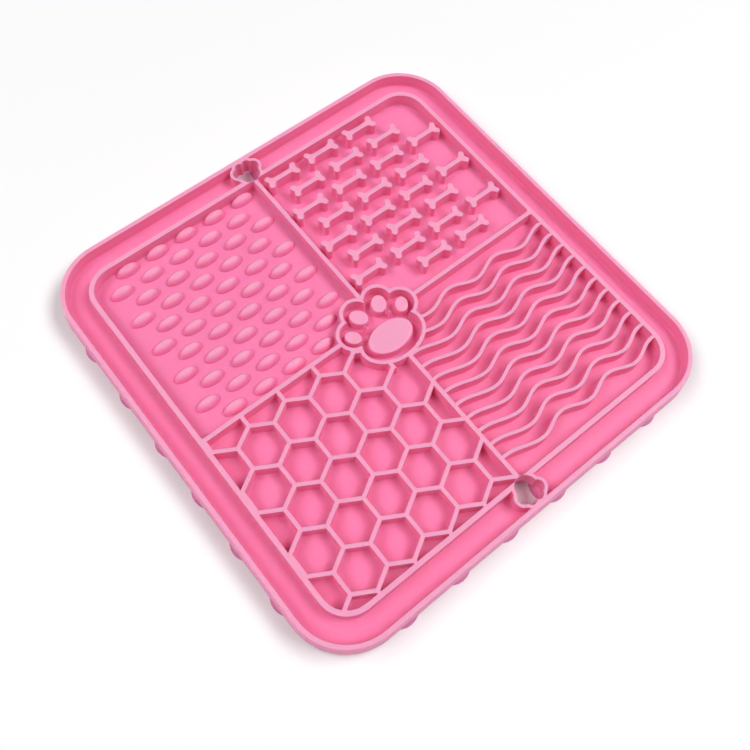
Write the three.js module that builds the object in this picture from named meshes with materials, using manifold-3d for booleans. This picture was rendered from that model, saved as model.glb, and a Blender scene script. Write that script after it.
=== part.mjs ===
// Square silicone lick mat, moulded in one piece: a flat floor with a raised rim, a drip channel, an
// inner frame, four fields of relief, a paw in the middle, two paw-shaped holes in the channel to hang
// it by, and suction cups underneath.
//
// Millimetres, +Z up. The origin is the middle of the underside, on the plane of the cups' lips.
// The dividers lie along X and Y. The paw's toes point along +Y.

import * as THREE from 'three';
import { mergeVertices } from 'three/addons/utils/BufferGeometryUtils.js';
import Module from 'manifold-3d';

const wasm = await Module();
wasm.setup();

// Heights above the surface that the mat lies on
const CUP_HEIGHT = 3.3;
const FLOOR_THICKNESS = 2;
const WALL_HEIGHT = 6;
const FLOOR_TOP = CUP_HEIGHT + FLOOR_THICKNESS;
const TOP = FLOOR_TOP + WALL_HEIGHT;
const OVERLAP = 0.5;

// Facets of the round shapes
const CORNER_SEGMENTS = 3;
const ROUND_SEGMENTS = 8;
const PAD_SEGMENTS = 6;
const NUB_SIDES = 8;
const NUB_RINGS = 4;
const CUP_SIDES = 8;

// Outline, rim and inner frame, measured from the middle of the mat
const OUTER_HALF = 100;
const OUTER_CORNER_RADIUS = 24.5;
const BASE_FLARE = 0.9;
const RIM_WIDTH = 2.1;
const FRAME_HALF = 87.5;
const FRAME_WIDTH = 2.3;
const FRAME_CORNER_RADIUS = 12;
const DIVIDER_WIDTH = 2.1;

// Field of nubs, at -X +Y; each is longer left of its crest, and stands a little right of its place
const NUB = { left: 5.8, right: 5.2, back: 2.6, front: 2.7, height: 3, shift: 0.6 };
const NUB_ROWS = { count: 11, top: 84.2, pitch: 7.82 };
const NUB_COLUMNS = { count: 5, pitch: 14.7, oddStart: -68.4, evenStart: -75.9 };

// Field of bones, at +X +Y
const BONE = { shaftHalf: 4, shaftHalfWidth: 1.15, lobeX: 6.75, lobeY: 1.9, lobeRadius: 1.45, notchX: 7.5 };
const BONE_ROWS = { count: 8, top: 81.2, pitch: 10.24 };
const BONE_COLUMNS = { pitch: 21.6, oddStart: 11.2, oddCount: 4, evenStart: 17.5, evenCount: 3 };

// Field of honeycomb, at -X -Y
const HEX_PITCH = 17.28;
const HEX_WALL = 1.9;
const HEX_TOP_ROW = -15.6;
const HEX_ROWS = 7;
const HEX_COLUMNS = 6;
const OPEN_UNDER_PAW = { left: -7.7, right: 0, low: -27, high: -16 };

// Field of waves, at +X -Y
const WAVE = { count: 11, top: -8.9, pitch: 6.94, amplitude: 1.9, width: 1.6 };
const WAVE_COURSE = { period: 26.2, trough: 19.5, firstFall: 0.74, steps: 18 };

// Paw in the middle: its outline is the edge of these rounds, of which the last fills their middle
const PAW_WALL = 1.8;
const PAW_ROUNDS = [
  { x: -5.45, y: 6.9, rx: 6.65, ry: 6.65 },
  { x: 5.45, y: 6.9, rx: 6.65, ry: 6.65 },
  { x: -12.3, y: 0.3, rx: 6.75, ry: 6.75 },
  { x: 12.3, y: 0.3, rx: 6.75, ry: 6.75 },
  { x: 0, y: -9.5, rx: 14.7, ry: 10.5 },
  { x: 0, y: 1, rx: 7, ry: 7 },
];
const PAD_HEIGHT = 4.4;
const PADS = [
  { x: -5.3, y: 5.85, rx: 3.5, ry: 4.35, turn: 34 },
  { x: 5.3, y: 5.85, rx: 3.5, ry: 4.35, turn: -34 },
  { x: -12.85, y: -0.05, rx: 3, ry: 3.85, turn: 35 },
  { x: 12.85, y: -0.05, rx: 3, ry: 3.85, turn: -35 },
  { x: 0, y: -8.7, rx: 10.7, ry: 6.9, turn: 0 },
];

// Hanging holes in the channel: the edge of these rounds, with the toes towards the rim
const HOLE_DISTANCE = 92.4;
const HOLE_WALL = 1.5;
const HOLE_ROUNDS = [
  { x: 0, y: -1.6, rx: 4.65, ry: 4.65 },
  { x: -3.75, y: 0.9, rx: 2.55, ry: 2.55 },
  { x: 3.75, y: 0.9, rx: 2.55, ry: 2.55 },
  { x: -1.8, y: 3.1, rx: 2.15, ry: 2.15 },
  { x: 1.8, y: 3.1, rx: 2.15, ry: 2.15 },
];

// Suction cups underneath: a square grid without its corners, its outer rows set a little further out
const CUP = { neckRadius: 5, lipRadius: 7.8, lipWidth: 0.9, depth: 2.2 };
const CUP_GRID = { count: 6, first: -65.7, pitch: 25.7 };
const CUP_OUTER_ROW = 94.3;

// A closed solid from a geometry: corners shared, and triangles that shrink to a line left out
function solidOf(geometry) {
  const bare = geometry.index ? geometry.clone() : geometry;
  bare.deleteAttribute('normal');
  bare.deleteAttribute('uv');
  const merged = mergeVertices(bare);
  const triangles = [];
  for (let i = 0; i < merged.index.count; i += 3) {
    const [a, b, c] = [0, 1, 2].map((k) => merged.index.getX(i + k));
    if (a !== b && b !== c && c !== a) triangles.push(a, b, c);
  }
  return new wasm.Manifold(new wasm.Mesh({
    numProp: 3,
    vertProperties: new Float32Array(merged.attributes.position.array),
    triVerts: new Uint32Array(triangles),
  }));
}

// All the given solids joined into one
function joined(solids) {
  return solids.reduce((whole, solid) => whole.add(solid));
}

// An outline raised from one height to another
function prism(shape, bottom, top, curveSegments = CORNER_SEGMENTS) {
  const geometry = new THREE.ExtrudeGeometry(shape, {
    depth: top - bottom,
    bevelEnabled: false,
    curveSegments,
  });
  return geometry.translate(0, 0, bottom);
}

// A wall runs from inside the floor to past the rim's top, and the hollow's own height trims it
function wall(shape) {
  return solidOf(prism(shape, FLOOR_TOP - OVERLAP, TOP + OVERLAP));
}

function roundedSquare(half, radius) {
  const straight = half - radius;
  const shape = new THREE.Shape();
  shape.absarc(straight, straight, radius, 0, Math.PI / 2);
  shape.absarc(-straight, straight, radius, Math.PI / 2, Math.PI);
  shape.absarc(-straight, -straight, radius, Math.PI, Math.PI * 1.5);
  shape.absarc(straight, -straight, radius, Math.PI * 1.5, Math.PI * 2);
  return shape;
}

function rectangle(left, right, low, high) {
  return new THREE.Shape([
    new THREE.Vector2(left, low),
    new THREE.Vector2(right, low),
    new THREE.Vector2(right, high),
    new THREE.Vector2(left, high),
  ]);
}

function oval(centreX, centreY, radiusX, radiusY, turn = 0) {
  const shape = new THREE.Shape();
  shape.absellipse(centreX, centreY, radiusX, radiusY, 0, Math.PI * 2, false, turn);
  return shape;
}

// The block that holds everything above the cups, a little wider at its base than at its top
function block() {
  const geometry = prism(roundedSquare(OUTER_HALF, OUTER_CORNER_RADIUS), CUP_HEIGHT, TOP);
  const position = geometry.attributes.position;
  const baseScale = 1 + BASE_FLARE / OUTER_HALF;
  for (let i = 0; i < position.count; i += 1) {
    if (position.getZ(i) < FLOOR_TOP) {
      position.setXY(i, position.getX(i) * baseScale, position.getY(i) * baseScale);
    }
  }
  return solidOf(geometry);
}

// Everything within an outline that lies the given distance outside the frame's middle line
function withinFrame(distance) {
  return wall(roundedSquare(FRAME_HALF + distance, FRAME_CORNER_RADIUS + distance));
}

function frame() {
  return withinFrame(FRAME_WIDTH / 2).subtract(withinFrame(-FRAME_WIDTH / 2));
}

function dividers() {
  const reach = DIVIDER_WIDTH / 2;
  const alongX = wall(rectangle(-FRAME_HALF, FRAME_HALF, -reach, reach));
  const alongY = wall(rectangle(-reach, reach, -FRAME_HALF, FRAME_HALF));
  return alongX.add(alongY);
}

// Rounds joined into one upright solid, each grown by the given width
function rounds(table, grow, bottom, top, centreY = 0, side = 1) {
  return joined(table.map(({ x, y, rx, ry }) => (
    solidOf(prism(oval(x, centreY + side * y, rx + grow, ry + grow), bottom, top, ROUND_SEGMENTS))
  )));
}

function pads() {
  return PADS.map(({ x, y, rx, ry, turn }) => {
    const outline = oval(x, y, rx, ry, THREE.MathUtils.degToRad(turn));
    return solidOf(prism(outline, FLOOR_TOP - OVERLAP, FLOOR_TOP + PAD_HEIGHT, PAD_SEGMENTS));
  });
}

// A nub on the floor, reaching left, right, back and front of its crest by different lengths
function nub(x, y) {
  const geometry = new THREE.SphereGeometry(1, NUB_SIDES, NUB_RINGS).rotateX(Math.PI / 2);
  const position = geometry.attributes.position;
  for (let i = 0; i < position.count; i += 1) {
    const reach = position.getX(i) < 0 ? NUB.left : NUB.right;
    const depth = position.getY(i) < 0 ? NUB.front : NUB.back;
    const rise = position.getZ(i) < 0 ? OVERLAP : NUB.height;
    position.setXYZ(i, position.getX(i) * reach, position.getY(i) * depth, position.getZ(i) * rise);
  }
  return solidOf(geometry.translate(x + NUB.shift, y, FLOOR_TOP));
}

function nubs() {
  const solids = [];
  for (let row = 0; row < NUB_ROWS.count; row += 1) {
    const y = NUB_ROWS.top - row * NUB_ROWS.pitch;
    const start = row % 2 === 0 ? NUB_COLUMNS.oddStart : NUB_COLUMNS.evenStart;
    const lastRow = row === NUB_ROWS.count - 1;
    const count = lastRow ? NUB_COLUMNS.count - 1 : NUB_COLUMNS.count;
    for (let column = 0; column < count; column += 1) {
      const x = start + column * NUB_COLUMNS.pitch;
      solids.push(nub(x, y));
    }
  }
  return solids;
}

// A bone's outline: two round lobes at each end of a straight shaft
function boneShape(centreX, centreY) {
  const lobeAngles = [125, 50, -25];
  const quarter = [[BONE.shaftHalf, BONE.shaftHalfWidth]];
  for (const angle of lobeAngles) {
    const turn = THREE.MathUtils.degToRad(angle);
    quarter.push([
      BONE.lobeX + BONE.lobeRadius * Math.cos(turn),
      BONE.lobeY + BONE.lobeRadius * Math.sin(turn),
    ]);
  }
  const back = [...quarter].reverse();
  const outline = [
    ...quarter,
    [BONE.notchX, 0],
    ...back.map(([x, y]) => [x, -y]),
    ...quarter.map(([x, y]) => [-x, -y]),
    [-BONE.notchX, 0],
    ...back.map(([x, y]) => [-x, y]),
  ];
  return new THREE.Shape(outline.map(([x, y]) => new THREE.Vector2(centreX + x, centreY + y)));
}

// The first row lacks its last bone, and the last row its first, where the holes' collars stand
function bones() {
  const solids = [];
  for (let row = 0; row < BONE_ROWS.count; row += 1) {
    const y = BONE_ROWS.top - row * BONE_ROWS.pitch;
    const odd = row % 2 === 0;
    const start = odd ? BONE_COLUMNS.oddStart : BONE_COLUMNS.evenStart;
    const first = row === BONE_ROWS.count - 1 ? 1 : 0;
    const last = (odd ? BONE_COLUMNS.oddCount : BONE_COLUMNS.evenCount) - (row === 0 ? 1 : 0);
    for (let column = first; column < last; column += 1) {
      solids.push(wall(boneShape(start + column * BONE_COLUMNS.pitch, y)));
    }
  }
  return solids;
}

// Centres of the honeycomb's cells, row by row, also those that the field's edges cut
function cellCentres() {
  const centres = [];
  for (let row = -1; row < HEX_ROWS - 1; row += 1) {
    const shift = row % 2 === 0 ? 0 : HEX_PITCH / 2;
    const y = HEX_TOP_ROW - row * HEX_PITCH * Math.cos(Math.PI / 6);
    for (let column = 0; column < HEX_COLUMNS; column += 1) {
      centres.push({ x: -shift - column * HEX_PITCH, y });
    }
  }
  return centres;
}

function hexagon(centreX, centreY) {
  const radius = (HEX_PITCH - HEX_WALL) / 2 / Math.cos(Math.PI / 6);
  const corners = [30, 90, 150, 210, 270, 330].map((angle) => {
    const turn = THREE.MathUtils.degToRad(angle);
    return new THREE.Vector2(centreX + radius * Math.cos(turn), centreY + radius * Math.sin(turn));
  });
  return new THREE.Shape(corners);
}

// Walls between the cells; the one that would run from the paw's heel to the divider is left out
function honeycomb() {
  const field = wall(rectangle(-FRAME_HALF, 0, -FRAME_HALF, 0));
  const { left, right, low, high } = OPEN_UNDER_PAW;
  const outlines = cellCentres().map(({ x, y }) => hexagon(x, y));
  const cuts = [...outlines, rectangle(left, right, low, high)].map((outline) => (
    solidOf(prism(outline, FLOOR_TOP - 2 * OVERLAP, TOP + 2 * OVERLAP))
  ));
  return field.subtract(joined(cuts));
}

// How far a wave stands above its middle line; its first fall from the divider is drawn out
function waveRise(x) {
  const { period, trough, firstFall } = WAVE_COURSE;
  const along = x < trough ? (x - trough) * firstFall : x - trough;
  return -WAVE.amplitude * Math.cos((2 * Math.PI * along) / period);
}

function waves() {
  const solids = [];
  for (let row = 0; row < WAVE.count; row += 1) {
    const middle = WAVE.top - row * WAVE.pitch;
    const upper = [];
    const lower = [];
    for (let step = 0; step <= WAVE_COURSE.steps; step += 1) {
      const x = (FRAME_HALF * step) / WAVE_COURSE.steps;
      const y = middle + waveRise(x);
      upper.push(new THREE.Vector2(x, y + WAVE.width / 2));
      lower.push(new THREE.Vector2(x, y - WAVE.width / 2));
    }
    solids.push(wall(new THREE.Shape([...lower, ...upper.reverse()])));
  }
  return solids;
}

// One cup: a neck that widens to a thin flat lip, hollowed by a cone
function cup(x, y) {
  const { neckRadius, lipRadius, lipWidth, depth } = CUP;
  const profile = [
    new THREE.Vector2(0, depth),
    new THREE.Vector2(lipRadius - lipWidth, 0),
    new THREE.Vector2(lipRadius, 0),
    new THREE.Vector2(neckRadius, CUP_HEIGHT + OVERLAP),
    new THREE.Vector2(0, CUP_HEIGHT + OVERLAP),
  ];
  return solidOf(new THREE.LatheGeometry(profile, CUP_SIDES).rotateX(Math.PI / 2).translate(x, y, 0));
}

function cups() {
  const { count, first, pitch } = CUP_GRID;
  const inner = Array.from({ length: count }, (_, step) => first + step * pitch);
  const solids = [];
  for (const x of inner) {
    for (const y of inner) solids.push(cup(x, y));
    solids.push(cup(x, CUP_OUTER_ROW), cup(x, -CUP_OUTER_ROW));
    solids.push(cup(CUP_OUTER_ROW, x), cup(-CUP_OUTER_ROW, x));
  }
  return solids;
}

// Both hanging holes, or with a growth the collars around them, toes towards the rim
function hangingHoles(grow, bottom, top) {
  return [1, -1].map((side) => rounds(HOLE_ROUNDS, grow, bottom, top, side * HOLE_DISTANCE, side));
}

// Everything inside the rim is hollowed down to the floor, except the walls
function mat() {
  const wallBottom = FLOOR_TOP - OVERLAP;
  const wallTop = TOP + OVERLAP;
  const fields = joined([dividers(), honeycomb(), ...bones(), ...waves()]);
  const relief = frame().add(fields.intersect(withinFrame(0)));
  const pawOutside = rounds(PAW_ROUNDS, PAW_WALL / 2, wallBottom, wallTop);
  const pawInside = rounds(PAW_ROUNDS, -PAW_WALL / 2, wallBottom - OVERLAP, wallTop + OVERLAP);
  const collars = hangingHoles(HOLE_WALL, wallBottom, wallTop);
  const walls = joined([relief, pawOutside, ...collars]).subtract(pawInside);
  const inside = roundedSquare(OUTER_HALF - RIM_WIDTH, OUTER_CORNER_RADIUS - RIM_WIDTH);
  const hollow = solidOf(prism(inside, FLOOR_TOP, TOP + OVERLAP / 2)).subtract(walls);
  const shell = block().subtract(hollow);
  const raised = joined([shell, ...nubs(), ...pads(), ...cups()]);
  return raised.subtract(joined(hangingHoles(0, CUP_HEIGHT - OVERLAP, wallTop)));
}

// A named mesh from a finished solid
function meshOf(name, solid, material) {
  const { vertProperties, triVerts } = solid.getMesh();
  const geometry = new THREE.BufferGeometry();
  geometry.setAttribute('position', new THREE.BufferAttribute(new Float32Array(vertProperties), 3));
  geometry.setIndex(new THREE.BufferAttribute(new Uint32Array(triVerts), 1));
  geometry.computeVertexNormals();
  const mesh = new THREE.Mesh(geometry, material);
  mesh.name = name;
  return mesh;
}

const silicone = new THREE.MeshStandardMaterial({ color: 0xf77faa, roughness: 0.45, metalness: 0 });

const lickMat = new THREE.Group();
lickMat.add(meshOf('mat', mat(), silicone));

export default lickMat;
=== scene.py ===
"""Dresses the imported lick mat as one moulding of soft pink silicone, lit and seen as in the photograph.

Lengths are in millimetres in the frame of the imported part, and a finished mesh is scaled to metres.
"""

import logging
import math
from dataclasses import dataclass, field
from enum import Enum
from typing import Any

import bmesh
import bpy
from mathutils import Matrix, Vector


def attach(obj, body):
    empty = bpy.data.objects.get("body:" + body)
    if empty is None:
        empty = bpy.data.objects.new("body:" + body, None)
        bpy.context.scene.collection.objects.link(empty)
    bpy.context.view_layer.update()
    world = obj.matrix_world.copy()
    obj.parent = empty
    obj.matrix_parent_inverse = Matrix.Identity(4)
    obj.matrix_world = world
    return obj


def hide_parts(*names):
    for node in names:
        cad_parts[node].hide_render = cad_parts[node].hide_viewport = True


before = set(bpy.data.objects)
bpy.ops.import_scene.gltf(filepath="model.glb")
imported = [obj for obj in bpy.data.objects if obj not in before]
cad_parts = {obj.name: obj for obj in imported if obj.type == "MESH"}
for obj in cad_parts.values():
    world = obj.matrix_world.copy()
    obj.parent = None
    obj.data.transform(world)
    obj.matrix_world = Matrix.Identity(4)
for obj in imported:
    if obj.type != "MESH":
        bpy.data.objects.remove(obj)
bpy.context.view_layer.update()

log = logging.getLogger("lick_mat")

# A millimetre in metres
MM = 0.001
# Millimetres within which two points or heights are the same
HAIR = 0.001
# Degrees from which an edge between two faces stays sharp
CREASE_ANGLE = 38
# How much large faces lead the shading, at most 100
FACE_WEIGHT = 100

Point = tuple[float, float]
Outline = list[Point]


# Heights that every class shares


@dataclass(frozen=True)
class Levels:
    """Heights above the surface that the mat lies on.

    Attributes:
        underside: The floor's lower face, which the cups carry.
        floor: The floor's upper face.
        top: The tops of the walls.
        overlap: How deep a part is rooted in what carries it.
        sink: How far a foot goes below the floor's face, so that they meet in a clean line.
        past: How far a cutting shape runs past what it cuts.
    """

    underside: float = 3.3
    floor: float = 5.3
    top: float = 11.3
    overlap: float = 0.5
    sink: float = 0.03
    past: float = 1.0

    @property
    def wall(self) -> float:
        """Height of a full wall above the floor."""
        return self.top - self.floor


LEVELS = Levels()


class Combine(Enum):
    """What a tool does to the moulding that it meets."""

    JOIN = "UNION"
    CARVE = "DIFFERENCE"
    CLIP = "INTERSECT"


class Way(Enum):
    """Whether a solid grows up from the floor or is pressed down from above."""

    UP = 1
    DOWN = -1


# Outlines


def arc(centre: Point, radii: Point, start: float, stop: float, segments: int) -> Outline:
    """Points along part of an ellipse.

    Args:
        centre: Middle of the ellipse.
        radii: Half its length along X and along Y.
        start: First angle in degrees.
        stop: Last angle in degrees.
        segments: Number of steps between them.

    Returns:
        The points from the first angle to the last.
    """
    turns = [math.radians(start + (stop - start) * step / segments) for step in range(segments + 1)]
    return [(centre[0] + radii[0] * math.cos(turn), centre[1] + radii[1] * math.sin(turn)) for turn in turns]


def oval(centre: Point, radii: Point, tilt: float, segments: int) -> Outline:
    """A whole ellipse turned by a tilt in degrees.

    Args:
        centre: Middle of the ellipse.
        radii: Half its length and half its width.
        tilt: Turn about its middle.
        segments: Number of sides.

    Returns:
        The ellipse's corners, counter-clockwise.
    """
    cosine = math.cos(math.radians(tilt))
    sine = math.sin(math.radians(tilt))
    level = arc((0, 0), radii, 0, 360, segments)[:-1]
    return [(centre[0] + x * cosine - y * sine, centre[1] + x * sine + y * cosine) for x, y in level]


def rounded_box(low: Point, high: Point, radii: tuple[float, float, float, float], segments: int) -> Outline:
    """A rectangle with a round at each corner.

    Args:
        low: Corner with the smallest X and Y.
        high: Corner with the largest X and Y.
        radii: Rounds at the +X+Y, -X+Y, -X-Y and +X-Y corners.
        segments: Steps in each round.

    Returns:
        The outline, counter-clockwise.
    """
    corners = [
        (high[0], high[1], -1, -1),
        (low[0], high[1], 1, -1),
        (low[0], low[1], 1, 1),
        (high[0], low[1], -1, 1),
    ]
    outline: Outline = []
    for turn, ((x, y, inward_x, inward_y), radius) in enumerate(zip(corners, radii)):
        centre = (x + inward_x * radius, y + inward_y * radius)
        outline += arc(centre, (radius, radius), 90 * turn, 90 * turn + 90, segments)
    return outline


def rounded_square(half: float, radius: float, segments: int) -> Outline:
    """A square about the origin with the same round at each corner."""
    return rounded_box((-half, -half), (half, half), (radius,) * 4, segments)


# Rings of a moulded edge


@dataclass(frozen=True)
class Ring:
    """One step of a moulded edge: how far it goes in, and how far it climbs."""

    inward: float
    climb: float


def quarter_turns(segments: int) -> list[tuple[float, float]]:
    """Pairs of neighbouring angles that divide a right angle."""
    turns = [math.pi / 2 * step / segments for step in range(segments + 1)]
    return list(zip(turns, turns[1:]))


def flat_to_upright(radius: float, segments: int = 3) -> list[Ring]:
    """Steps of a round that leaves a flat and ends upright, as at the foot of a wall.

    Args:
        radius: Its radius.
        segments: Number of steps.

    Returns:
        The steps.
    """
    return [
        Ring(radius * (math.sin(b) - math.sin(a)), radius * (math.cos(a) - math.cos(b)))
        for a, b in quarter_turns(segments)
    ]


def upright_to_flat(radius: float, segments: int = 3) -> list[Ring]:
    """Steps of a round that leaves an upright wall and ends flat, as at a wall's top.

    Args:
        radius: Its radius.
        segments: Number of steps.

    Returns:
        The steps.
    """
    return [
        Ring(radius * (math.cos(a) - math.cos(b)), radius * (math.sin(b) - math.sin(a)))
        for a, b in quarter_turns(segments)
    ]


@dataclass(frozen=True)
class Edge:
    """A moulded wall's section: a round, a slightly drafted wall and another round.

    Attributes:
        first: Radius of the round where the section starts.
        last: Radius of the round where it ends.
        height: Height from its start to its end.
        draft: How far the wall between the rounds leans in.
        segments: Steps in each round.
    """

    first: float
    last: float
    height: float
    draft: float = 0.1
    segments: int = 3

    @property
    def first_reach(self) -> float:
        """How far outside the middle of the wall its section starts."""
        return self.first + self.draft / 2

    def rings(self) -> list[Ring]:
        """The section's steps, from its start to its end."""
        start = flat_to_upright(self.first, self.segments)
        straight = Ring(self.draft, self.height - self.first - self.last)
        return [*start, straight, *upright_to_flat(self.last, self.segments)]


@dataclass(frozen=True)
class Swell:
    """How a low mound rises.

    Attributes:
        height: The height of which the steps take their shares.
        steps: Each step's share of the outline's size, and of the height.
        ridge: The share of its length that doesn't shrink.
    """

    height: float
    steps: tuple[tuple[float, float], ...]
    ridge: float = 0.0


class Form:
    """Closed solids in one mesh, each grown ring by ring from a flat outline."""

    def __init__(self) -> None:
        """Starts with an empty mesh."""
        self.mesh = bmesh.new()

    def raise_face(self, face: bmesh.types.BMFace, climb: float) -> bmesh.types.BMFace:
        """Extrudes a face straight up or down.

        Args:
            face: The face that starts the extrusion; it stays.
            climb: How far its copy goes up.

        Returns:
            The copy.
        """
        grown = bmesh.ops.extrude_face_region(self.mesh, geom=[face])["geom"]
        raised = next(part for part in grown if isinstance(part, bmesh.types.BMFace))
        bmesh.ops.translate(self.mesh, verts=list(raised.verts), vec=(0, 0, climb))
        return raised

    def grow(self, outline: Outline, base: float, rings: list[Ring], way: Way = Way.UP) -> None:
        """Adds one closed solid.

        Args:
            outline: Corners of its first face, counter-clockwise.
            base: Height of that face.
            rings: Steps from there to its last face; the first one goes straight.
            way: Up from the base, or down from it.
        """
        first = self.mesh.faces.new([self.mesh.verts.new((x, y, base)) for x, y in outline])
        last = self.raise_face(first, rings[0].climb * way.value)
        for ring in rings[1:]:
            last.normal_update()
            bmesh.ops.inset_region(self.mesh, faces=[last], thickness=ring.inward, use_even_offset=True)
            bmesh.ops.translate(self.mesh, verts=list(last.verts), vec=(0, 0, ring.climb * way.value))

    def swell(self, outline: Outline, peak: Point, swell: Swell) -> None:
        """Adds a mound on the floor, whose outline shrinks towards its peak as it rises.

        Args:
            outline: Its outline on the floor, counter-clockwise.
            peak: Where it is highest.
            swell: How it rises; a share of its length along X, the ridge, doesn't shrink.
        """
        base = LEVELS.floor - LEVELS.overlap
        first = self.mesh.faces.new([self.mesh.verts.new((x, y, base)) for x, y in outline])
        last = self.raise_face(first, LEVELS.overlap - LEVELS.sink)
        spot = Matrix.Translation((-peak[0], -peak[1], 0))
        size = (1.0, 1.0)
        level = -LEVELS.sink
        for share, rise in swell.steps:
            raised = self.raise_face(last, rise * swell.height - level)
            self.mesh.faces.remove(last)
            last = raised
            level = rise * swell.height
            smaller = (swell.ridge + (1 - swell.ridge) * share, share)
            ratio = (smaller[0] / size[0], smaller[1] / size[1], 1)
            bmesh.ops.scale(self.mesh, vec=ratio, space=spot, verts=list(last.verts))
            size = smaller

    def stand(self, outline: Outline, edge: Edge) -> None:
        """Stands a solid on the floor, its foot sunk a hair so that it meets the floor in a clean line."""
        rings = [Ring(0, LEVELS.overlap - LEVELS.sink), *edge.rings()]
        self.grow(outline, LEVELS.floor - LEVELS.overlap, rings)

    def press(self, outline: Outline, edge: Edge) -> None:
        """Presses a cavity's shape down from above the walls' tops."""
        rings = [Ring(0, LEVELS.past - LEVELS.sink), *edge.rings()]
        self.grow(outline, LEVELS.top + LEVELS.past, rings, Way.DOWN)

    def made(self, name: str) -> bpy.types.Object:
        """Turns the solids outwards and links them as an object.

        Args:
            name: The object's name.

        Returns:
            The object, which takes the form's mesh.
        """
        bmesh.ops.recalc_face_normals(self.mesh, faces=self.mesh.faces[:])
        data = bpy.data.meshes.new(name)
        self.mesh.to_mesh(data)
        self.mesh.free()
        thing = bpy.data.objects.new(name, data)
        bpy.context.scene.collection.objects.link(thing)
        return thing


def combine(body: bpy.types.Object, form: Form, how: Combine) -> None:
    """Joins a form to a body, carves it out of it, or clips the body to it.

    Args:
        body: The object whose mesh changes.
        form: The solids that it meets, used up by this.
        how: What to do.
    """
    tool = form.made("tool")
    modifier = body.modifiers.new("combine", "BOOLEAN")
    modifier.solver = "MANIFOLD"
    modifier.operation = how.value
    modifier.object = tool
    graph = bpy.context.evaluated_depsgraph_get()
    result = bpy.data.meshes.new_from_object(body.evaluated_get(graph))
    body.modifiers.remove(modifier)
    used = body.data
    body.data = result
    bpy.data.meshes.remove(used)
    bpy.data.meshes.remove(tool.data)


# The moulding's parts


@dataclass(frozen=True)
class Round:
    """One of the rounds that make a paw.

    Attributes:
        x: Its middle along X.
        y: Its middle along Y.
        rx: Half its length along X, before the tilt.
        ry: Half its length along Y, before the tilt.
        tilt: Its turn in degrees, counter-clockwise.
    """

    x: float
    y: float
    rx: float
    ry: float
    tilt: float = 0.0


@dataclass
class Base:
    """The block: outer rim, drip channel and the raised field that the frame bounds.

    Attributes:
        half: Half the width across the rim's top.
        corner: Radius of the rim's outer corners at its top.
        flare: How much further the rim reaches at its base.
        skirt: Height of the upright strip at its base.
        edge_round: Width of the rounding on the block's outer edges.
        edge_segments: Steps in that rounding.
        rim: Width of the rim's top.
        frame_half: Half the width between the middle lines of the frame's walls.
        frame_width: Width of the frame's walls.
        frame_corner: Radius of the frame's corners along their middle line.
        segments: Steps in each corner.
    """

    half: float = 100.0
    corner: float = 24.5
    flare: float = 0.9
    skirt: float = 0.4
    edge_round: float = 0.35
    edge_segments: int = 3
    rim: float = 2.1
    frame_half: float = 87.5
    frame_width: float = 2.3
    frame_corner: float = 12.0
    segments: int = 14

    def blank(self) -> bpy.types.Object:
        """Makes the block that everything is cut from, wider at its base, with soft edges.

        Returns:
            The block.
        """
        form = Form()
        height = LEVELS.top - LEVELS.underside
        rings = [Ring(0, self.skirt), Ring(self.flare, height - self.skirt)]
        outline = rounded_square(self.half + self.flare, self.corner + self.flare, self.segments)
        form.grow(outline, LEVELS.underside, rings)
        soft = [
            edge
            for edge in form.mesh.edges
            if abs(edge.verts[0].co.z - edge.verts[1].co.z) < HAIR
            and min(abs(edge.verts[0].co.z - level) for level in (LEVELS.underside, LEVELS.top)) < HAIR
        ]
        bmesh.ops.bevel(
            form.mesh,
            geom=soft,
            offset=self.edge_round,
            segments=self.edge_segments,
            profile=0.5,
            affect="EDGES",
            material=-1,
        )
        return form.made("silicone_moulding")

    def basin(self) -> Form:
        """Shapes the hollow inside the rim.

        Returns:
            The hollow, to be carved.
        """
        edge = Edge(first=0.45, last=0.6, height=LEVELS.wall + LEVELS.sink, draft=0.3)
        half = self.half - self.rim + edge.first_reach
        form = Form()
        form.press(rounded_square(half, self.corner - self.rim + edge.first_reach, self.segments), edge)
        return form

    def island(self) -> Form:
        """Shapes the block inside the channel, which the fields are pressed into.

        Returns:
            The block, to be joined.
        """
        edge = Edge(first=0.4, last=0.3, height=LEVELS.wall + LEVELS.sink)
        reach = self.frame_width / 2 + edge.first_reach
        form = Form()
        form.stand(rounded_square(self.frame_half + reach, self.frame_corner + reach, self.segments), edge)
        return form


@dataclass
class Field:
    """One quarter inside the frame, between the dividers.

    Attributes:
        base: The block that it is pressed into.
        side_x: 1 where it lies towards +X, and -1 towards -X.
        side_y: The same along Y.
        divider_half: Half the width of the dividers.
        inner_round: Radius of the corners beside the dividers.
        round_segments: Steps in each corner.
    """

    base: Base
    side_x: int
    side_y: int
    divider_half: float = 1.05
    inner_round: float = 0.9
    round_segments: int = 6

    def cavity(self) -> Form:
        """Shapes the field's hollow, with a soft foot all around.

        Returns:
            The hollow, to be carved.
        """
        edge = Edge(first=0.3, last=0.4, height=LEVELS.wall + LEVELS.sink, draft=0.15)
        near = self.divider_half - edge.first_reach
        far = self.base.frame_half - self.base.frame_width / 2 + edge.first_reach
        outer = self.base.frame_corner - self.base.frame_width / 2 + edge.first_reach
        inner = self.inner_round + edge.first_reach
        low = (near if self.side_x > 0 else -far, near if self.side_y > 0 else -far)
        high = (far if self.side_x > 0 else -near, far if self.side_y > 0 else -near)
        corners = [(1, 1), (-1, 1), (-1, -1), (1, -1)]
        radii = [outer if corner == (self.side_x, self.side_y) else inner for corner in corners]
        form = Form()
        form.press(rounded_box(low, high, tuple(radii), self.round_segments), edge)
        return form


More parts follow.
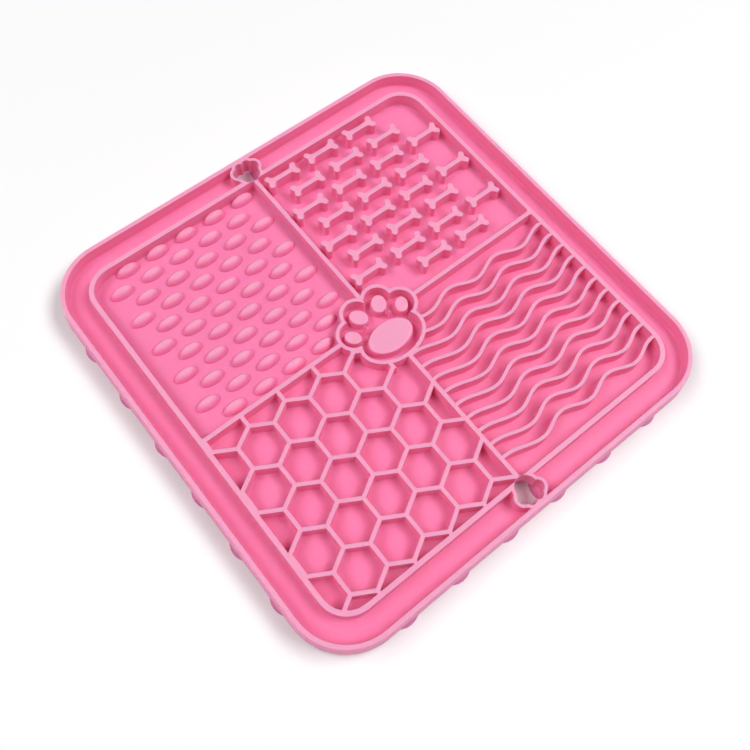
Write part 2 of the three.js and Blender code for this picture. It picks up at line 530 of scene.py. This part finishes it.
@dataclass
class Nubs(Field):
    """Rows of long nubs, round across and a little longer towards -X.

    Attributes:
        middle_x: Where a nub's widest line lies, from its place in the row.
        middle_y: Where its long axis lies, from its row.
        left: Its length on the -X side of the widest line.
        right: Its length on the +X side.
        half_width: Half its width.
        peak_x: Where it is highest, from its place in the row.
        peak_y: The same along Y.
        rise: How it rises.
        sides: Number of its sides.
        rows: Number of rows.
        top_row: Where the first row lies along Y.
        row_pitch: Distance between rows.
        column_pitch: Distance between the nubs of a row.
        odd_start: Where the first row, the third and so on start along X.
        even_start: Where the rows between them start.
        columns: Nubs in a row.
    """

    middle_x: float = 0.6
    middle_y: float = 0.05
    left: float = 5.8
    right: float = 5.2
    half_width: float = 2.65
    peak_x: float = 0.9
    peak_y: float = 0.7
    rise: Swell = Swell(
        height=3.0, steps=((0.97, 0.25), (0.86, 0.5), (0.66, 0.74), (0.42, 0.9), (0.18, 0.98)), ridge=0.25
    )
    sides: int = 24
    rows: int = 11
    top_row: float = 84.2
    row_pitch: float = 7.82
    column_pitch: float = 14.7
    odd_start: float = -68.4
    even_start: float = -75.9
    columns: int = 5

    def places(self) -> list[Point]:
        """Lists each nub's place; the last row is one short.

        Returns:
            The places, row by row.
        """
        places: list[Point] = []
        for row in range(self.rows):
            start = self.even_start if row % 2 else self.odd_start
            y = self.top_row - row * self.row_pitch
            count = self.columns - (row == self.rows - 1)
            places += [(start + column * self.column_pitch, y) for column in range(count)]
        return places

    def outline(self) -> Outline:
        """Draws a nub about its place in the row, longer on one side of its widest line.

        Returns:
            The outline, counter-clockwise.
        """
        return [
            (
                self.middle_x + x * (self.right if x > 0 else self.left),
                self.middle_y + y * self.half_width,
            )
            for x, y in arc((0, 0), (1, 1), 0, 360, self.sides)[:-1]
        ]

    def relief(self) -> Form:
        """Raises all the nubs.

        Returns:
            The nubs, to be joined.
        """
        form = Form()
        outline = self.outline()
        for x, y in self.places():
            moved = [(x + px, y + py) for px, py in outline]
            form.swell(moved, (x + self.peak_x, y + self.peak_y), self.rise)
        return form


@dataclass
class Bones(Field):
    """Rows of bones as tall as the walls.

    Attributes:
        shaft: Half the shaft's width.
        lobe_x: Where an end's lobes have their middles along X.
        lobe_y: Where they have them along Y.
        lobe_round: Radius of a lobe.
        neck_round: Radius of the hollow between lobe and shaft.
        end_round: Radius of the hollow between an end's two lobes.
        lobe_segments: Steps in a lobe.
        neck_segments: Steps in the hollow beside the shaft.
        end_segments: Steps in half the hollow between the lobes.
        rows: Number of rows.
        top_row: Where the first row lies along Y.
        row_pitch: Distance between rows.
        column_pitch: Distance between the bones of a row.
        odd_start: Where the first row, the third and so on start along X.
        even_start: Where the rows between them start.
        odd_count: Places in the first row, the third and so on.
        even_count: Places in the rows between them.
    """

    shaft: float = 1.15
    lobe_x: float = 6.75
    lobe_y: float = 1.9
    lobe_round: float = 1.45
    neck_round: float = 2.0
    end_round: float = 1.5
    lobe_segments: int = 8
    neck_segments: int = 4
    end_segments: int = 3
    rows: int = 8
    top_row: float = 81.2
    row_pitch: float = 10.24
    column_pitch: float = 21.6
    odd_start: float = 11.2
    even_start: float = 17.5
    odd_count: int = 4
    even_count: int = 3

    def places(self) -> list[Point]:
        """Lists each bone's middle; the first row lacks its last bone, and the last row its first.

        Returns:
            The places, row by row.
        """
        places: list[Point] = []
        for row in range(self.rows):
            even = row % 2
            start, count = (self.even_start, self.even_count) if even else (self.odd_start, self.odd_count)
            first = 1 if row == self.rows - 1 else 0
            last = count - 1 if row == 0 else count
            places += [
                (start + column * self.column_pitch, self.top_row - row * self.row_pitch)
                for column in range(first, last)
            ]
        return places

    def outline(self, grow: float) -> Outline:
        """Draws a bone about the origin, grown by a width.

        Args:
            grow: How far it stands outside the bone's own outline.

        Returns:
            The points, counter-clockwise.
        """
        neck_y = self.shaft + self.neck_round
        to_neck_middle = self.lobe_round + self.neck_round
        to_end_middle = self.lobe_round + self.end_round
        neck_x = self.lobe_x - math.sqrt(to_neck_middle**2 - (neck_y - self.lobe_y) ** 2)
        end_x = self.lobe_x + math.sqrt(to_end_middle**2 - self.lobe_y**2)
        to_end = math.degrees(math.atan2(-self.lobe_y, end_x - self.lobe_x))
        to_neck = math.degrees(math.atan2(neck_y - self.lobe_y, neck_x - self.lobe_x))
        lobe = self.lobe_round + grow
        neck = self.neck_round - grow
        end = self.end_round - grow
        quarter = arc((end_x, 0), (end, end), 180, 180 + to_end, self.end_segments)
        quarter += arc((self.lobe_x, self.lobe_y), (lobe, lobe), to_end, to_neck, self.lobe_segments)[1:]
        quarter += arc((neck_x, neck_y), (neck, neck), to_neck + 180, 270, self.neck_segments)[1:]
        upper = quarter + [(-x, y) for x, y in reversed(quarter)]
        return upper + [(-x, -y) for x, y in upper[1:-1]]

    def relief(self) -> Form:
        """Raises all the bones.

        Returns:
            The bones, to be joined.
        """
        edge = Edge(first=0.35, last=0.3, height=LEVELS.wall + LEVELS.sink)
        outline = self.outline(edge.first_reach)
        form = Form()
        for x, y in self.places():
            form.stand([(x + px, y + py) for px, py in outline], edge)
        return form


@dataclass
class Waves(Field):
    """Wavy walls that run across the field.

    Attributes:
        count: Number of waves.
        top_row: Where the first wave's middle line lies.
        pitch: Distance between waves.
        amplitude: How far a wave swings to each side of its middle line.
        width: Its width.
        period: Length of one full swing along X.
        trough: Where its first trough lies along X.
        first_fall: Its pace before that trough, as a share of its pace behind it.
        plain_end: Length of its first and last step, mostly inside the walls that it meets.
        root: How far it stops short of the far faces of those walls.
        beside: Distance to each side over which its slope is taken.
        steps: Steps between its ends.
    """

    count: int = 11
    top_row: float = -8.9
    pitch: float = 6.94
    amplitude: float = 1.9
    width: float = 1.65
    period: float = 26.2
    trough: float = 19.5
    first_fall: float = 0.74
    plain_end: float = 2.2
    root: float = 0.1
    beside: float = 0.05
    steps: int = 66

    def rise(self, x: float) -> float:
        """How far a wave stands above its middle line at a place along it."""
        along = (x - self.trough) * (self.first_fall if x < self.trough else 1)
        return -self.amplitude * math.cos(2 * math.pi * along / self.period)

    def outline(self, grow: float) -> Outline:
        """Draws one wave about its middle line, from the divider into the frame.

        Args:
            grow: How far it stands outside the wave's own width.

        Returns:
            The points, counter-clockwise.
        """
        start = -self.divider_half + self.root
        stop = self.base.frame_half + self.base.frame_width / 2 - self.root
        reach = self.width / 2 + grow
        lower: Outline = []
        upper: Outline = []
        first = start + self.plain_end
        pace = (stop - self.plain_end - first) / self.steps
        for x in [start, *(first + pace * step for step in range(self.steps + 1)), stop]:
            slope = math.atan((self.rise(x + self.beside) - self.rise(x - self.beside)) / (2 * self.beside))
            side = (-math.sin(slope) * reach, math.cos(slope) * reach)
            lower.append((x - side[0], self.rise(x) - side[1]))
            upper.append((x + side[0], self.rise(x) + side[1]))
        return lower + upper[::-1]

    def relief(self) -> Form:
        """Raises all the waves.

        Returns:
            The waves, to be joined.
        """
        edge = Edge(first=0.35, last=0.25, height=LEVELS.wall + LEVELS.sink)
        outline = self.outline(edge.first_reach)
        form = Form()
        for row in range(self.count):
            middle = self.top_row - row * self.pitch
            form.stand([(x, middle + y) for x, y in outline], edge)
        return form


@dataclass
class Honeycomb(Field):
    """Cells pressed into the field.

    Attributes:
        pitch: Distance between the middles of neighbouring cells.
        wall: Width of the walls between them.
        first_row: Number of the first row, which the divider cuts.
        rows: Number of rows.
        columns: Cells in a row.
        top_row: Where row 0 lies along Y.
        open_left: The low X side of the gap where a wall is left out.
        open_right: The gap's high X side, beyond the field's edge.
        open_low: Its low Y side.
        open_high: Its high Y side.
    """

    pitch: float = 17.28
    wall: float = 1.9
    first_row: int = -1
    rows: int = 7
    columns: int = 6
    top_row: float = -15.6
    open_left: float = -7.7
    open_right: float = 2.0
    open_low: float = -27.0
    open_high: float = -16.0

    def edge(self) -> Edge:
        """The section of a cell's walls."""
        return Edge(first=0.25, last=0.4, height=LEVELS.wall + LEVELS.sink, draft=0.15)

    def places(self) -> list[Point]:
        """Lists each cell's middle, also of those that the field's edges cut.

        Returns:
            The places, row by row.
        """
        places: list[Point] = []
        for row in range(self.first_row, self.first_row + self.rows):
            shift = self.pitch / 2 if row % 2 else 0.0
            y = self.top_row - row * self.pitch * math.cos(math.pi / 6)
            places += [(-shift - column * self.pitch, y) for column in range(self.columns)]
        return places

    def cells(self) -> Form:
        """Shapes all the cells, each a hexagon with two sides along Y.

        Returns:
            The cells, to be carved.
        """
        across = (self.pitch - self.wall) / 2 + self.edge().first_reach
        corner = across / math.cos(math.pi / 6)
        outline = arc((0, 0), (corner, corner), 30, 390, 6)[:-1]
        form = Form()
        for x, y in self.places():
            form.press([(x + px, y + py) for px, py in outline], self.edge())
        return form

    def opening(self) -> Form:
        """Shapes the gap under the paw, where the wall between two cells is left out.

        Returns:
            The gap, to be carved.
        """
        left, right = self.open_left - self.edge().first_reach, self.open_right
        low, high = self.open_low, self.open_high
        form = Form()
        form.press([(left, low), (right, low), (right, high), (left, high)], self.edge())
        return form

    def hollows(self) -> Form:
        """Joins the cells and the gap, and keeps them inside the field.

        Returns:
            All that is to be carved out of the field.
        """
        cells = self.cells().made("cells")
        combine(cells, self.opening(), Combine.JOIN)
        combine(cells, self.cavity(), Combine.CLIP)
        form = Form()
        form.mesh.from_mesh(cells.data)
        bpy.data.meshes.remove(cells.data)
        return form


@dataclass
class Paw:
    """The paw in the middle: a wall around five pads.

    Attributes:
        wall: Width of the wall.
        rounds: The wall runs along their joined edge; the last one fills their middle.
        pads: The four toes and the heel.
        pad_height: Height of the pads above the floor.
        round_sides: Sides of each round.
        pad_sides: Sides of each pad.
    """

    wall: float = 1.8
    rounds: list[Round] = field(
        default_factory=lambda: [
            Round(-5.45, 6.9, 6.65, 6.65),
            Round(5.45, 6.9, 6.65, 6.65),
            Round(-12.3, 0.3, 6.75, 6.75),
            Round(12.3, 0.3, 6.75, 6.75),
            Round(0, -9.5, 14.7, 10.5),
            Round(0, 1, 7, 7),
        ]
    )
    pads: list[Round] = field(
        default_factory=lambda: [
            Round(-5.3, 5.85, 3.5, 4.35, 34),
            Round(5.3, 5.85, 3.5, 4.35, -34),
            Round(-12.85, -0.05, 3, 3.85, 35),
            Round(12.85, -0.05, 3, 3.85, -35),
            Round(0, -8.7, 10.7, 6.9),
        ]
    )
    pad_height: float = 4.4
    round_sides: int = 40
    pad_sides: int = 32

    def outside(self) -> list[Form]:
        """Shapes the rounds that stand on the floor.

        Returns:
            One form for each round, because they overlap.
        """
        edge = Edge(first=0.4, last=0.3, height=LEVELS.wall + LEVELS.sink)
        forms = []
        for part in self.rounds:
            form = Form()
            grow = self.wall / 2 + edge.first_reach
            form.stand(oval((part.x, part.y), (part.rx + grow, part.ry + grow), 0, self.round_sides), edge)
            forms.append(form)
        return forms

    def inside(self) -> list[Form]:
        """Shapes the rounds that are pressed into them.

        Returns:
            One form for each round.
        """
        edge = Edge(first=0.3, last=0.4, height=LEVELS.wall + LEVELS.sink, draft=0.15)
        forms = []
        for part in self.rounds:
            form = Form()
            grow = edge.first_reach - self.wall / 2
            form.press(oval((part.x, part.y), (part.rx + grow, part.ry + grow), 0, self.round_sides), edge)
            forms.append(form)
        return forms

    def cushions(self) -> Form:
        """Raises the pads, with well-rounded tops.

        Returns:
            The pads, to be joined.
        """
        edge = Edge(first=0.4, last=0.7, height=self.pad_height + LEVELS.sink, draft=0.3)
        form = Form()
        for pad in self.pads:
            radii = (pad.rx + edge.first_reach, pad.ry + edge.first_reach)
            form.stand(oval((pad.x, pad.y), radii, pad.tilt, self.pad_sides), edge)
        return form


@dataclass
class HangingHoles:
    """The two paw-shaped holes in the channel, with a collar around each, toes towards the rim.

    Attributes:
        distance: How far each hole lies from the mat's middle.
        collar: Width of the collar's wall.
        soft_edge: Radius of the hole's upper edge.
        draft: How much the hole narrows on its way down.
        sides: Sides of each round.
        rounds: The rounds that make the hole at +Y, from its own middle.
    """

    distance: float = 92.4
    collar: float = 1.5
    soft_edge: float = 0.5
    draft: float = 0.05
    sides: int = 28
    rounds: list[Round] = field(
        default_factory=lambda: [
            Round(0, -1.6, 4.65, 4.65),
            Round(-3.75, 0.9, 2.55, 2.55),
            Round(3.75, 0.9, 2.55, 2.55),
            Round(-1.8, 3.1, 2.15, 2.15),
            Round(1.8, 3.1, 2.15, 2.15),
        ]
    )

    def collars(self) -> list[Form]:
        """Shapes both collars.

        Returns:
            One form for each round of the paw.
        """
        edge = Edge(first=0.4, last=0.35, height=LEVELS.wall + LEVELS.sink)
        forms = []
        for part in self.rounds:
            form = Form()
            for side in (1, -1):
                centre = (part.x, side * (self.distance + part.y))
                grow = self.collar + edge.first_reach
                form.stand(oval(centre, (part.rx + grow, part.ry + grow), 0, self.sides), edge)
            forms.append(form)
        return forms

    def openings(self) -> list[Form]:
        """Shapes both through holes, with a soft edge above.

        Returns:
            One form for each round of the paw.
        """
        down = LEVELS.top - LEVELS.underside - self.soft_edge + LEVELS.past
        rings = [Ring(0, LEVELS.past - LEVELS.sink), *flat_to_upright(self.soft_edge), Ring(self.draft, down)]
        forms = []
        for part in self.rounds:
            form = Form()
            radii = (part.rx + self.soft_edge, part.ry + self.soft_edge)
            for side in (1, -1):
                centre = (part.x, side * (self.distance + part.y))
                form.grow(oval(centre, radii, 0, self.sides), LEVELS.top + LEVELS.past, rings, Way.DOWN)
            forms.append(form)
        return forms


@dataclass
class Cups:
    """Suction cups underneath, in a square grid whose outer rows stand a little further out.

    Attributes:
        neck: Radius where a cup leaves the mat's underside.
        shoulder: Where its flank starts to spread: how far outside the neck, and how high.
        lip: Outer radius of the lip, which lies on the surface.
        lip_width: Width of the lip's flat ring.
        lip_edge: How far in and how high the lip's outer edge is cut off.
        depth: Height of the hollow at its middle.
        vault: Where the hollow's roof bends, as shares of the lip's radius and of the depth.
        first: Where the grid's first row lies, along X and along Y.
        pitch: Distance between cups.
        count: Cups in a row.
        outer_row: How far the outer rows lie from the mat's middle.
        sides: Sides of each cup.
    """

    neck: float = 5.6
    shoulder: Point = (0.5, 1.9)
    lip: float = 7.8
    lip_width: float = 0.9
    lip_edge: Point = (0.15, 0.25)
    depth: float = 2.2
    vault: Point = (0.45, 0.8)
    first: float = -65.7
    pitch: float = 25.7
    count: int = 6
    outer_row: float = 94.3
    sides: int = 24

    def places(self) -> list[Point]:
        """Lists each cup's middle.

        Returns:
            The inner grid's places and those of the four outer rows.
        """
        inner = [self.first + step * self.pitch for step in range(self.count)]
        places = [(x, y) for x in inner for y in inner]
        for along in inner:
            places += [(along, self.outer_row), (along, -self.outer_row)]
            places += [(self.outer_row, along), (-self.outer_row, along)]
        return places

    def section(self) -> Outline:
        """Draws half of a cup's section, from the middle of its hollow to the middle of its root.

        Returns:
            Distances from the cup's axis, and heights.
        """
        root = LEVELS.underside + LEVELS.overlap
        return [
            (0.0, self.depth),
            (self.lip * self.vault[0], self.depth * self.vault[1]),
            (self.lip - self.lip_width, 0.0),
            (self.lip - self.lip_edge[0], 0.0),
            (self.lip, self.lip_edge[1]),
            (self.neck + self.shoulder[0], self.shoulder[1]),
            (self.neck, root),
            (0.0, root),
        ]

    def form(self) -> Form:
        """Spins all the cups.

        Returns:
            The cups, to be joined.
        """
        form = Form()
        section = self.section()
        for x, y in self.places():
            line = [form.mesh.verts.new((x + out, y, up)) for out, up in section]
            edges = [form.mesh.edges.new(pair) for pair in zip(line, line[1:])]
            bmesh.ops.spin(
                form.mesh,
                geom=[*line, *edges],
                cent=(x, y, 0),
                axis=(0, 0, 1),
                angle=math.tau,
                steps=self.sides,
                use_merge=True,
            )
        bmesh.ops.remove_doubles(form.mesh, verts=form.mesh.verts[:], dist=HAIR)
        return form


def build_moulding() -> bpy.types.Object:
    """Joins and carves every part of the moulding.

    Returns:
        The moulding, still in millimetres.
    """
    base = Base()
    body = base.blank()
    combine(body, base.basin(), Combine.CARVE)
    combine(body, base.island(), Combine.JOIN)
    holes = HangingHoles()
    for form in holes.collars():
        combine(body, form, Combine.JOIN)
    nubs = Nubs(base, -1, 1)
    bones = Bones(base, 1, 1)
    waves = Waves(base, 1, -1)
    comb = Honeycomb(base, -1, -1)
    for part in (nubs, bones, waves):
        combine(body, part.cavity(), Combine.CARVE)
        combine(body, part.relief(), Combine.JOIN)
    combine(body, comb.hollows(), Combine.CARVE)
    paw = Paw()
    for form in paw.outside():
        combine(body, form, Combine.JOIN)
    for form in paw.inside():
        combine(body, form, Combine.CARVE)
    combine(body, paw.cushions(), Combine.JOIN)
    for form in holes.openings():
        combine(body, form, Combine.CARVE)
    combine(body, Cups().form(), Combine.JOIN)
    return body


# Finishes


class Signal:
    """A shader value on which Python's operators add Math nodes."""

    def __init__(self, bench: "Bench", socket: bpy.types.NodeSocket) -> None:
        """Wraps a node's output."""
        self.bench = bench
        self.socket = socket

    def math(self, operation: str, other: "Signal | float") -> "Signal":
        """Adds a Math node on this value and another."""
        return self.bench.signal("ShaderNodeMath", "Value", {0: self, 1: other}, {"operation": operation})

    def __add__(self, other: "Signal | float") -> "Signal":
        """This value plus another."""
        return self.math("ADD", other)

    def __mul__(self, other: "Signal | float") -> "Signal":
        """This value times another."""
        return self.math("MULTIPLY", other)

    __radd__ = __add__
    __rmul__ = __mul__


class Bench:
    """Adds nodes to one material or world."""

    def __init__(self, owner: bpy.types.Material | bpy.types.World) -> None:
        """Clears the owner's nodes, for its own to come."""
        owner.use_nodes = True
        self.tree = owner.node_tree
        self.tree.nodes.clear()

    def node(
        self, kind: str, sockets: dict[str | int, Any], settings: dict[str, Any] | None = None
    ) -> bpy.types.Node:
        """Adds a node.

        Args:
            kind: The node's type.
            sockets: Values or links for its inputs, by name or place.
            settings: Its own settings, such as a Math node's operation, which are set first.

        Returns:
            The node.
        """
        node = self.tree.nodes.new(kind)
        for name, value in (settings or {}).items():
            setattr(node, name, value)
        for name, value in sockets.items():
            if isinstance(value, Signal):
                value = value.socket
            if isinstance(value, bpy.types.NodeSocket):
                self.tree.links.new(value, node.inputs[name])
            else:
                node.inputs[name].default_value = value
        return node

    def signal(
        self, kind: str, output: str, sockets: dict[str | int, Any], settings: dict[str, Any] | None = None
    ) -> Signal:
        """Adds a node and wraps one of its outputs."""
        return Signal(self, self.node(kind, sockets, settings).outputs[output])

    def ramp(self, value: Signal, low: float, high: float) -> Signal:
        """Goes softly from 0 to 1 as a value goes from low to high."""
        sockets = {"Value": value, "From Min": low, "From Max": high}
        return self.signal("ShaderNodeMapRange", "Result", sockets, {"interpolation_type": "SMOOTHSTEP"})

    def noise(self, place: bpy.types.NodeSocket, scale: float, detail: float) -> Signal:
        """Varies softly about one half over the surface."""
        sockets = {"Vector": place, "Scale": scale, "Detail": detail}
        return self.signal("ShaderNodeTexNoise", "Fac", sockets)


def linear(red: int, green: int, blue: int) -> tuple[float, float, float]:
    """Turns a colour as it is seen on a screen into linear light.

    Args:
        red: Its red, from 0 to 255.
        green: Its green.
        blue: Its blue.

    Returns:
        The same three as linear light, from 0 to 1.
    """

    def one(value: int) -> float:
        """One channel as linear light."""
        level = value / 255
        return level / 12.92 if level <= 0.04045 else ((level + 0.055) / 1.055) ** 2.4

    return one(red), one(green), one(blue)


@dataclass(frozen=True)
class PinkSilicone:
    """Soft moulded silicone, deeper in colour on the floor and painted paler on the walls' tops and on upward
    faces, which is painted light.

    Attributes:
        deep: Colour on the floor, where no painted light is added.
        pale: Painted light: the paler colour that upward faces near the walls' tops are given.
        painted_light_from: Height above the floor where the painted light sets in.
        painted_light_to: Height above the floor where it is full.
        painted_light_side_share: Share of the painted light that upright faces take.
        upright: Facing, as the normal's Z, below which a face counts as upright.
        upward: Facing above which a face counts as upward.
        cloud_scale: Scale of the faint unevenness in colour and gloss.
        cloud_detail: Its detail.
        cloud_paleness: How much it adds to the pale colour.
        roughness: Roughness where the unevenness is nil.
        cloud_roughness: How much the unevenness adds to it.
        grain_scale: Scale of the fine grain.
        grain_detail: Its detail.
        grain_strength: Strength of its bump.
        grain_height: Height of its bump in metres.
        refraction: Index of refraction.
        scatter: How far red, green and blue light spread, as shares of the depth.
        scatter_depth: How deep light goes in, in metres.
    """

    deep: tuple[float, float, float] = linear(246, 135, 181)
    pale: tuple[float, float, float] = linear(255, 169, 201)
    painted_light_from: float = 1.5
    painted_light_to: float = 3.2
    painted_light_side_share: float = 0.3
    upright: float = 0.2
    upward: float = 0.8
    cloud_scale: float = 60.0
    cloud_detail: float = 2.0
    cloud_paleness: float = 0.06
    roughness: float = 0.45
    cloud_roughness: float = 0.1
    grain_scale: float = 900.0
    grain_detail: float = 3.0
    grain_strength: float = 0.08
    grain_height: float = 0.0001
    refraction: float = 1.41
    scatter: tuple[float, float, float] = (1.0, 0.28, 0.45)
    scatter_depth: float = 0.0018

    def material(self) -> bpy.types.Material:
        """Builds the finish.

        Returns:
            The material.
        """
        material = bpy.data.materials.new("pink_silicone")
        bench = Bench(material)
        where = bench.node("ShaderNodeTexCoord", {}).outputs
        place = where["Object"]
        height = bench.signal("ShaderNodeSeparateXYZ", "Z", {"Vector": place})
        facing = bench.signal("ShaderNodeSeparateXYZ", "Z", {"Vector": where["Normal"]})
        # Painted light: the colour turns paler with height above the floor and more so on upward faces, in
        # place of light on the raised tops
        climb = bench.ramp(height, (LEVELS.floor + self.painted_light_from) * MM, (LEVELS.floor + self.painted_light_to) * MM)
        cloud = bench.noise(place, self.cloud_scale, self.cloud_detail)
        share = self.painted_light_side_share + (1 - self.painted_light_side_share) * bench.ramp(facing, self.upright, self.upward)
        # The painted light plus a faint random mottle in tone
        painted_light_and_mottle = climb * share + self.cloud_paleness * cloud
        mixed = bench.node(
            "ShaderNodeMix", {0: painted_light_and_mottle, 6: (*self.deep, 1), 7: (*self.pale, 1)}, {"data_type": "RGBA"}
        )
        grain = bench.noise(place, self.grain_scale, self.grain_detail)
        bump = bench.node(
            "ShaderNodeBump",
            {"Strength": self.grain_strength, "Distance": self.grain_height, "Height": grain},
        )
        shader = bench.node(
            "ShaderNodeBsdfPrincipled",
            {
                "Base Color": mixed.outputs[2],
                "Roughness": self.roughness + self.cloud_roughness * cloud,
                "IOR": self.refraction,
                "Subsurface Weight": 1.0,
                "Subsurface Radius": self.scatter,
                "Subsurface Scale": self.scatter_depth,
                "Normal": bump.outputs["Normal"],
            },
            {"subsurface_method": "RANDOM_WALK"},
        )
        bench.node("ShaderNodeOutputMaterial", {"Surface": shader.outputs[0]})
        return material


@dataclass(frozen=True)
class PaleFloor:
    """A plain pale studio floor."""

    colour: tuple[float, float, float] = linear(253, 253, 253)
    roughness: float = 0.6

    def material(self) -> bpy.types.Material:
        """Builds the finish.

        Returns:
            The material.
        """
        material = bpy.data.materials.new("pale_floor")
        bench = Bench(material)
        sockets = {"Base Color": (*self.colour, 1), "Roughness": self.roughness}
        shader = bench.node("ShaderNodeBsdfPrincipled", sockets)
        bench.node("ShaderNodeOutputMaterial", {"Surface": shader.outputs[0]})
        return material


@dataclass(frozen=True)
class PaleSurround:
    """What lies around the studio floor: it looks pale, but lights the mat only faintly.

    Attributes:
        light: Its strength as a light.
        looks: Its strength where it is seen directly.
    """

    light: float = 0.08
    looks: float = 0.95

    def world(self) -> bpy.types.World:
        """Builds the surround.

        Returns:
            The world.
        """
        world = bpy.data.worlds.new("pale_surround")
        bench = Bench(world)
        seen = bench.signal("ShaderNodeLightPath", "Is Camera Ray", {})
        strength = self.light + (self.looks - self.light) * seen
        backdrop = bench.node("ShaderNodeBackground", {"Color": (1, 1, 1, 1), "Strength": strength})
        bench.node("ShaderNodeOutputWorld", {"Surface": backdrop.outputs[0]})
        return world


@dataclass(frozen=True)
class Panel:
    """A soft light: its place around the mat in degrees, its size in metres and its power in watts."""

    name: str
    azimuth: float
    elevation: float
    width: float
    height: float
    power: float


@dataclass
class Studio:
    """Camera, floor and lights.

    Attributes:
        camera_place: Where the camera stands, in millimetres.
        camera_aim: The point that it looks at.
        picture_up: Direction on the mat that points up in the picture, in degrees from +X.
        lens: Focal length for the sensor's width.
        sensor: Width of the sensor.
        distance: How far the panels hang from the mat's middle, in metres.
        floor_radius: Radius of the round floor, in metres.
        floor_sides: Number of its sides.
        panels: The soft lights.
    """

    camera_place: tuple[float, float, float] = (-109.7, -110.4, 318.5)
    camera_aim: tuple[float, float, float] = (-16.8, -19.0, 11.3)
    picture_up: float = 51.1
    lens: float = 39.9
    sensor: float = 36.0
    distance: float = 2.4
    floor_radius: float = 1.3
    floor_sides: int = 96
    panels: tuple[Panel, ...] = (
        Panel("panel_right", azimuth=328, elevation=56, width=1.7, height=0.9, power=40),
        Panel("panel_left", azimuth=152, elevation=54, width=2.4, height=1.1, power=35),
    )

    def camera(self) -> None:
        """Places the camera at the photograph's angle to the mat's face."""
        data = bpy.data.cameras.new("photo_camera")
        data.lens = self.lens
        data.sensor_width = self.sensor
        thing = bpy.data.objects.new("photo_camera", data)
        place = Vector(self.camera_place) * MM
        away = (place - Vector(self.camera_aim) * MM).normalized()
        turn = math.radians(self.picture_up)
        right = Vector((math.cos(turn), math.sin(turn), 0)).cross(away).normalized()
        axes = Matrix((right, away.cross(right), away)).transposed()
        thing.matrix_world = Matrix.Translation(place) @ axes.to_4x4()
        bpy.context.scene.collection.objects.link(thing)
        bpy.context.scene.camera = thing

    def floor(self) -> None:
        """Lays the floor under the cups' lips."""
        mesh = bmesh.new()
        bmesh.ops.create_circle(mesh, cap_ends=True, segments=self.floor_sides, radius=self.floor_radius)
        data = bpy.data.meshes.new("studio_floor")
        mesh.to_mesh(data)
        mesh.free()
        data.materials.append(PaleFloor().material())
        thing = bpy.data.objects.new("studio_floor", data)
        bpy.context.scene.collection.objects.link(thing)

    def panel(self, panel: Panel) -> None:
        """Hangs a soft light that faces the mat.

        Args:
            panel: The light.
        """
        data = bpy.data.lights.new(panel.name, "AREA")
        data.shape = "RECTANGLE"
        data.size = panel.width
        data.size_y = panel.height
        data.energy = panel.power
        turn = math.radians(panel.azimuth)
        lift = math.radians(panel.elevation)
        towards = Vector((math.cos(turn) * math.cos(lift), math.sin(turn) * math.cos(lift), math.sin(lift)))
        thing = bpy.data.objects.new(panel.name, data)
        thing.location = towards * self.distance
        thing.rotation_euler = towards.to_track_quat("Z", "Y").to_euler()
        bpy.context.scene.collection.objects.link(thing)

    def lights(self) -> None:
        """Hangs the panels in the pale surround."""
        for panel in self.panels:
            self.panel(panel)
        bpy.context.scene.world = PaleSurround().world()


def finish_mesh(body: bpy.types.Object) -> None:
    """Scales the moulding to metres and shades it smooth but for its sharp edges.

    Args:
        body: The moulding in millimetres.
    """
    mesh = bmesh.new()
    mesh.from_mesh(body.data)
    bmesh.ops.scale(mesh, vec=(MM,) * 3, verts=mesh.verts[:])
    for face in mesh.faces:
        face.smooth = True
    for edge in mesh.edges:
        edge.smooth = len(edge.link_faces) == 2 and edge.calc_face_angle() < math.radians(CREASE_ANGLE)
    mesh.to_mesh(body.data)
    mesh.free()
    weighted = body.modifiers.new("even_shading", "WEIGHTED_NORMAL")
    weighted.keep_sharp = True
    weighted.weight = FACE_WEIGHT


def main() -> None:
    """Builds the stage and the moulding, and reports them."""
    logging.basicConfig(level=logging.INFO, format="%(name)s: %(message)s")
    bpy.context.scene.view_settings.view_transform = "Standard"
    studio = Studio()
    studio.camera()
    studio.floor()
    studio.lights()
    body = build_moulding()
    finish_mesh(body)
    body.data.materials.clear()
    body.data.materials.append(PinkSilicone().material())
    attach(body, "root")
    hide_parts("mat")
    log.info("moulding: %d faces", len(body.data.polygons))


if __name__ == "__main__":
    main()
